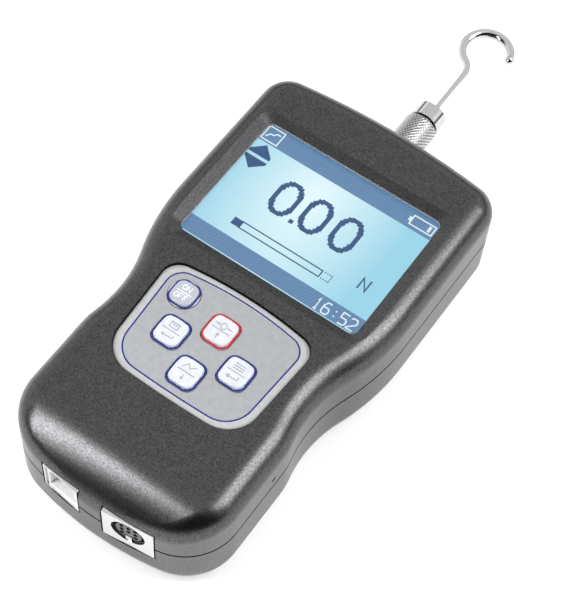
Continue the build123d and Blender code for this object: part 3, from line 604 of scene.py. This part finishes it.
def bowed(points, top_y, low_y, top_bow, low_bow, half):
    """Bows the top and bottom of an outline outwards."""
    result = []
    for x, y in points:
        share = max(0.0, 1 - (x / half) ** 2)
        up = (y - low_y) / (top_y - low_y)
        push = top_bow * max(0.0, up * 2 - 1) - low_bow * max(0.0, 1 - up * 2)
        result.append((x, y + push * share))
    return result


FILM_BOW_TOP, FILM_BOW_LOW, FILM_TAPER = 2.1, 0.7, 1.7


def film_outline(side, top, bottom, corner_top, corner_low):
    """The film's own outline, let in by distances at its sides, top and bottom."""
    high, low = film_high[1] - FILM_BOW_TOP - top, film_low[1] + FILM_BOW_LOW + bottom
    half_top, half_low = film_high[0] - side, film_high[0] - side - FILM_TAPER
    corners = [
        (half_top, high, corner_top), (half_low, low, corner_low),
        (-half_low, low, corner_low), (-half_top, high, corner_top),
    ]
    return bowed(divided(soft_polygon(corners)), high, low, FILM_BOW_TOP, FILM_BOW_LOW, half_top)


def pillow_outline(node, grow, half=None, bow=0.35, corner=2.0):
    """Points round a key, let out by a distance."""
    x, y, _ = middle_of(node)
    low, high = in_mm(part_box(node))
    half_x, half_y = half or ((high[0] - low[0]) / 2 - 0.5, (high[1] - low[1]) / 2 - 0.5)
    half_x += grow
    half_y += grow
    corners = [
        (half_x - bow, half_y - bow, corner + grow), (half_x - bow, bow - half_y, corner + grow),
        (bow - half_x, bow - half_y, corner + grow), (bow - half_x, half_y - bow, corner + grow),
    ]
    points = []
    for px, py in soft_polygon(corners):
        px += math.copysign(bow, px) * max(0.0, 1 - (py / half_y) ** 2)
        py += math.copysign(bow, py) * max(0.0, 1 - (px / half_x) ** 2)
        points.append((x + px, y + py))
    return points


print("keypad film, mm:", film_low, film_high)

# %% [markdown]
# The rings of the film ride on the base, and each key's ring rides on its key, on the
# flat skirt just above the film, so that it goes down when the key is pressed.

# %% keypad prints
RIM_WIDTH, LINE_WIDTH, KEY_LINE_WIDTH = 1.7, 0.42, 0.56
KEY_SKIRT = film_level + 0.2
POWER_HALF = (3.75, 3.95)

shape = bmesh.new()
ring(shape, film_outline(0.15, 0.15, 0.15, 4.9, 8.9), RIM_WIDTH, film_level, thick=0.01)
finished("keypad_border", shape, film_pale, "base")
shape = bmesh.new()
ring(shape, film_outline(1.7, 1.2, 1.45, 4.0, 7.6), LINE_WIDTH, film_level, thick=0.02)
finished("keypad_line", shape, print_blue, "base")
for node, material, grow, half in (
    ("key_zero", print_red, 0.14, None), ("key_left", print_blue, 0.14, None),
    ("key_right", print_blue, 0.14, None), ("key_lower", print_blue, 0.14, None),
    ("key_power", print_blue, 0.05, POWER_HALF),
):
    shape = bmesh.new()
    body = node.replace("key_", "") + "_key"
    ring(shape, pillow_outline(node, grow, half), KEY_LINE_WIDTH, KEY_SKIRT)
    finished(node + "_line", shape, material, body)

# %% [markdown]
# The keys carry small grey legends. Only general signs are used: arrows, a nought
# between arrows for zero, an enter arrow, and ON and OFF on the power key. Strokes
# of one legend cross, and two faces in one plane would flicker, so each stroke is a
# hair thicker than the one before.

# %% key legends
KEY_TOP = top_of("key_zero")
LEGEND_WIDTH, LEGEND_THICK, LAYER = 0.3, 0.012, 0.004


def legend(name, node, lines, plates=(), material=print_grey):
    """Draws lines and plates given from a key's middle, in millimetres."""
    x, y, _ = middle_of(node)
    shape = bmesh.new()
    for step, points in enumerate(lines):
        spots = [(x + px, y + py) for px, py in points]
        stroke(shape, spots, LEGEND_WIDTH, KEY_TOP, thick=LEGEND_THICK + LAYER * step)
    for points in plates:
        plate(shape, [(x + px, y + py) for px, py in points], KEY_TOP, thick=LEGEND_THICK)
    finished(name, shape, material, node.replace("key_", "") + "_key")


def round_line(x, y, radius, squash=1.0, count=16):
    turns = [2 * math.pi * n / count for n in range(count)]
    points = [(x + radius * squash * math.cos(turn), y + radius * math.sin(turn)) for turn in turns]
    return points + [(x + radius * squash, y)]


DIVIDER = [(-2.6, -0.1), (2.6, -0.1)]
legend(
    "zero_legend", "key_zero",
    [
        DIVIDER, round_line(0, 1.3, 0.95, squash=0.8), [(-2.6, 1.3), (-1.2, 1.3)],
        [(2.6, 1.3), (1.2, 1.3)], [(0, -2.6), (0, -1.6)],
    ],
    [
        [(-1.6, 1.8), (-1.0, 1.3), (-1.6, 0.8)], [(1.6, 0.8), (1.0, 1.3), (1.6, 1.8)],
        [(-0.6, -1.7), (0, -0.9), (0.6, -1.7)],
    ],
)
legend(
    "left_legend", "key_left",
    [
        DIVIDER, frame_line(-1.2, 2.4, 1.2, 0.8), [(-0.5, 2.4), (-0.5, 1.7), (0.5, 1.7), (0.5, 2.4)],
        [(1.6, -1.0), (1.6, -1.9), (-1.0, -1.9)],
    ],
    [[(-0.9, -1.3), (-1.9, -1.9), (-0.9, -2.5)]],
)
legend(
    "right_legend", "key_right",
    [
        DIVIDER, [(-1.5, 2.3), (1.5, 2.3)], [(-1.5, 1.55), (1.5, 1.55)], [(-1.5, 0.8), (1.5, 0.8)],
        [(1.5, -0.9), (1.5, -1.9), (-0.9, -1.9)],
    ],
    [[(-0.8, -1.2), (-1.9, -1.9), (-0.8, -2.6)]],
)
legend(
    "lower_legend", "key_lower",
    [DIVIDER, [(-1.7, 0.8), (-0.7, 2.3), (0.3, 1.2), (1.7, 2.3)], [(0, -1.0), (0, -1.9)]],
    [[(-0.6, -1.8), (0.6, -1.8), (0, -2.6)]],
)

# %% [markdown]
# The power key's two words are strokes too, so that the scene needs no font. Each
# letter is given in a square of side one, and the words are set above and below a
# dividing line.

# %% power key legend
LETTERS = {
    "O": [round_line(0.5, 0.5, 0.45)], "N": [[(0, 0), (0, 1), (0.9, 0), (0.9, 1)]],
    "F": [[(0, 0), (0, 1), (0.8, 1)], [(0, 0.5), (0.65, 0.5)]],
}
LETTER_PITCH, LETTER_SIZE = 1.4, (1.15, 1.6)
power_lines = [[(-2.2, 0), (2.2, 0)]]
for word, left, foot in (("ON", -1.3, 0.65), ("OFF", -1.95, -2.25)):
    for index, letter in enumerate(word):
        for line in LETTERS[letter]:
            power_lines.append([
                (left + LETTER_PITCH * index + LETTER_SIZE[0] * px, foot + LETTER_SIZE[1] * py)
                for px, py in line
            ])
print_white = moulded("print_white", (0.86, 0.87, 0.90), 0.3)
legend("power_legend", "key_power", power_lines, material=print_white)

# %% [markdown]
# The sleeve is knurled: two sets of spiral grooves cross and leave small pyramids. A
# bump map would leave its edge smooth against the light, so the grooves are real. A
# profile is spun round the sleeve's axis, and each vertex is lowered by how near it
# lies to a groove, so the grid's own squares become the pyramids' sides.

# %% knurled sleeve
sleeve_low, sleeve_high = in_mm(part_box("knurled_sleeve"))
sleeve_radius = (sleeve_high[0] - sleeve_low[0]) / 2
sleeve_axis = (sleeve_low[2] + sleeve_high[2]) / 2
BORE, LOW_CHAMFER, HIGH_CHAMFER = 3.1, 0.55, 1.1
COLUMNS, ROWS, KNURL_DEPTH, GROOVE_PITCH = 112, 50, 0.34, 4
KNURL_ENDS = (sleeve_low[1] + LOW_CHAMFER, sleeve_high[1] - HIGH_CHAMFER)

shape = bmesh.new()
profile = [(BORE, sleeve_low[1]), (sleeve_radius - LOW_CHAMFER, sleeve_low[1])]
for row in range(ROWS + 1):
    profile.append((sleeve_radius, KNURL_ENDS[0] + (KNURL_ENDS[1] - KNURL_ENDS[0]) * row / ROWS))
profile += [(sleeve_radius - HIGH_CHAMFER, sleeve_high[1]), (BORE, sleeve_high[1])]
rim = [shape.verts.new((r * MM, y * MM, sleeve_axis * MM)) for r, y in profile]
edges = [shape.edges.new((rim[i], rim[(i + 1) % len(rim)])) for i in range(len(rim))]
bmesh.ops.spin(
    shape, geom=rim + edges, cent=(0, 0, sleeve_axis * MM), axis=(0, 1, 0), angle=2 * math.pi,
    steps=COLUMNS, use_merge=True,
)
bmesh.ops.remove_doubles(shape, verts=shape.verts, dist=0.00002)
row_pitch = (KNURL_ENDS[1] - KNURL_ENDS[0]) / ROWS
for vert in shape.verts:
    y = vert.co.y / MM
    if KNURL_ENDS[0] - 0.01 < y < KNURL_ENDS[1] + 0.01:
        row = round((y - KNURL_ENDS[0]) / row_pitch)
        turn = math.atan2(vert.co.z - sleeve_axis * MM, vert.co.x) % (2 * math.pi)
        column = round(turn / (2 * math.pi) * COLUMNS)
        steps = [side % GROOVE_PITCH for way in (column + row, column - row) for side in (way, -way)]
        rise = min(steps) / (GROOVE_PITCH / 2)
        shrink = 1 - KNURL_DEPTH * (1 - rise) / sleeve_radius
        vert.co.x *= shrink
        vert.co.z = (vert.co.z - sleeve_axis * MM) * shrink + sleeve_axis * MM
sleeve = finished("sleeve_knurl", shape, knurl_chrome, "sleeve")
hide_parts("knurled_sleeve")
print("knurl:", len(sleeve.data.polygons), "faces")

# %% [markdown]
# The case screws have a cross recess. The heads lie deep in their counterbores, where
# a cut pit and a dark mark look the same, so the cross is painted shade: two thin dark
# bars set in the head's outer face stand in for the shade inside the recess.

# %% screw recesses
# Painted shade: dark bars stand in for the shade inside each screw's cross recess.
painted_recess_shade = moulded("painted_recess_shade", (0.02, 0.02, 0.02), 0.5)
HEAD_RADIUS, CROSS_LENGTH, CROSS_WIDTH = 2.3, 2.6, 0.55
screws_low, screws_high = in_mm(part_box("case_screws"))
shape = bmesh.new()
for column, y, first_turn in (
    (29.4, screws_high[1] - HEAD_RADIUS, 12), (24.4, screws_low[1] + HEAD_RADIUS, -20),
):
    for x in (-column, column):
        for turn in (0, 90):
            slab(shape, x, y, CROSS_LENGTH, CROSS_WIDTH, turn + first_turn, screws_low[2] - 0.01, 0.02)
finished("screw_recess_shade", shape, painted_recess_shade, "base")

# %% [markdown]
# The round socket's contact holes are narrow, so light still finds the wall of each.
# A thin matt black disc of painted shade closes every hole's mouth and stands in for the
# shade deep in the hole, and the shield's bright key tongue reaches into the notch of the
# insert. The socket stands square to the curved end wall, so a helper gives places in the
# socket's own axes.

# %% round socket
SOCKET_COLUMN, WALL_RADIUS = 10.8, 87.0
SOCKET_MIDDLE = (10.78, -95.98, 20.85)
SOCKET_TURN = math.asin(SOCKET_COLUMN / WALL_RADIUS)
HOLE_ROWS = ((-1, 1), (-1, 0, 1), (-1, 0, 1))
HOLE_PITCH, HOLE_RADIUS, INSERT_SINK = 1.9, 0.55, 0.4


def on_socket(across, inward, up):
    """A frame on the round socket's face, moved by millimetres in that face's own axes."""
    return (
        Matrix.Translation([v * MM for v in SOCKET_MIDDLE])
        @ Matrix.Rotation(SOCKET_TURN, 4, "Z")
        @ Matrix.Translation((across * MM, inward * MM, up * MM))
    )


shape = bmesh.new()
for row, columns in enumerate(HOLE_ROWS):
    for column in columns:
        spot = on_socket(column * HOLE_PITCH, INSERT_SINK, (row - 1) * HOLE_PITCH)
        bmesh.ops.create_cone(
            shape, cap_ends=True, segments=16, radius1=HOLE_RADIUS * MM, radius2=HOLE_RADIUS * MM,
            depth=0.06 * MM, matrix=spot @ Matrix.Rotation(math.radians(90), 4, "X"),
        )
# Painted shade: a matt black disc in each hole's mouth stands in for the shade deep inside.
painted_hole_shade = moulded("painted_hole_shade", (0.003, 0.003, 0.003), 0.9, Specular_IOR_Level=0.0)
finished("din_hole_shade", shape, painted_hole_shade, "base")
shape = bmesh.new()
tongue = on_socket(0.0, INSERT_SINK, -3.7) @ Matrix.Diagonal((1.7 * MM, 0.3 * MM, 2.4 * MM, 1))
bmesh.ops.create_cube(shape, size=1, matrix=tongue)
finished("din_tongue", shape, socket_metal, "base")

# %% [markdown]
# The stage is a plain pale floor. More light would wash the gauge out before the
# floor got white, so the floor shows a little of its own light to the camera and to
# what mirrors it or looks through glass, and still keeps the gauge's shadow.

# %% floor
floor_white, shader = finish_of("floor_white", (0.85, 0.85, 0.85), 0.9, Specular_IOR_Level=0.0)
rays = add_node(floor_white, "ShaderNodeLightPath").outputs
seen = math_node(floor_white, "MAXIMUM", rays["Is Camera Ray"], rays["Is Glossy Ray"])
seen = math_node(floor_white, "MAXIMUM", seen, rays["Is Transmission Ray"])
link(floor_white, seen, shader, "Emission Strength")
shader.inputs["Emission Color"].default_value = (0.45, 0.45, 0.45, 1)
shape = bmesh.new()
bmesh.ops.create_grid(shape, x_segments=1, y_segments=1, size=6.0)
floor_mesh = bpy.data.meshes.new("floor")
shape.to_mesh(floor_mesh)
shape.free()
floor_mesh.materials.append(floor_white)
floor = bpy.data.objects.new("floor", floor_mesh)
bpy.context.scene.collection.objects.link(floor)
print("floor, m:", tuple(floor.dimensions))

# %% [markdown]
# The room is white round the horizon and softer overhead. A glossy dark case is
# mostly a picture of its room, so where the room is dim matters as much as where it
# is bright. The side that the camera stands on is dim, as the open side of a studio
# is, which gives the lower end of the case its deep shade, and a low band behind
# the gauge is dim too, which draws dark edges on the bright metal.

# %% room
world = bpy.data.worlds.new("studio")
bpy.context.scene.world = world
world.use_nodes = True
backdrop = world.node_tree.nodes["Background"]
backdrop.inputs["Color"].default_value = (1, 1, 1, 1)


def span(source, start, end, low, high):
    """A world value that goes from low to high while its source goes from start to end."""
    return add_node(
        world, "ShaderNodeMapRange", Value=source, From_Min=start, From_Max=end, To_Min=low, To_Max=high
    ).outputs["Result"]


direction = add_node(world, "ShaderNodeTexCoord").outputs["Generated"]
axes = add_node(world, "ShaderNodeSeparateXYZ", Vector=direction).outputs
toward = add_node(world, "ShaderNodeVectorMath", i0=direction, i1=(0.35, -1.0, 0.0))
toward.operation = "DOT_PRODUCT"
above_horizon = span(axes["Z"], 0.02, 0.12, 0.0, 1.0)
in_front = span(toward.outputs["Value"], 0.03, 0.36, 0.0, 0.97)
open_side = math_node(world, "MULTIPLY", in_front, above_horizon)
low_band = math_node(
    world, "MULTIPLY", span(axes["Z"], 0.02, 0.06, 0.0, 1.0), span(axes["Z"], 0.24, 0.34, 1.0, 0.0)
)
behind = math_node(world, "MULTIPLY", span(axes["Y"], 0.3, 0.5, 0.0, 0.8), low_band)
shade = math_node(world, "MAXIMUM", open_side, behind)
overhead = span(axes["Z"], 0.35, 0.7, 1.15, 0.8)
strength = math_node(world, "MULTIPLY", overhead, span(shade, 0.0, 1.0, 1.0, 0.0))
world.node_tree.links.new(strength, backdrop.inputs["Strength"])
print("room:", len(world.node_tree.nodes), "nodes")

# %% [markdown]
# Three soft lamps. A small one near the lower end lays the broad highlight on the
# case's rounded end, a large one far to the right draws the bright line down its
# right edge, and a weak one fills from above. Sun lamps would give the same light
# everywhere, but these highlights fade along the case, as those of near lamps do.


# %% lamps
def lamp(name, place, target, width, height, power):
    """A soft rectangular lamp at a place, turned to a target; metres and watts."""
    data = bpy.data.lights.new(name, "AREA")
    data.shape = "RECTANGLE"
    data.size, data.size_y = width, height
    data.energy = power
    item = bpy.data.objects.new(name, data)
    item.location = place
    item.rotation_euler = (Vector(place) - Vector(target)).to_track_quat("Z", "Y").to_euler()
    bpy.context.scene.collection.objects.link(item)
    print(name, power, "W")


lamp("front_softbox", (-0.110, -0.220, 0.210), (-0.016, -0.088, 0.030), 0.060, 0.215, 0.46)
lamp("top_fill", (0.30, 0.30, 0.90), (0.0, 0.0, 0.02), 0.25, 0.6, 0.4)
lamp("rim_strip", (0.530, 0.280, 0.680), (0.0, 0.0, 0.02), 0.38, 0.6, 4.0)

# %% [markdown]
# The camera looks down on the gauge from its lower right, through a long lens, which
# keeps the sides of the case nearly parallel.

# %% camera
FRAME_HEIGHT, SENSOR, FOCAL_LENGTH_PIXELS = 600, 36.0, 1736.1
camera_data = bpy.data.cameras.new("camera")
camera_data.sensor_fit = "VERTICAL"
camera_data.sensor_height = SENSOR
camera_data.lens = FOCAL_LENGTH_PIXELS / FRAME_HEIGHT * SENSOR
camera_data.clip_start = 0.01
camera = bpy.data.objects.new("camera", camera_data)
camera.location = (0.12151, -0.21888, 0.41211)
camera.rotation_euler = Euler([math.radians(a) for a in (30.493, -2.568, 34.979)])
bpy.context.scene.collection.objects.link(camera)
bpy.context.scene.camera = camera
bpy.context.scene.view_settings.view_transform = "Standard"
print("lens:", round(camera_data.lens, 1), "mm")
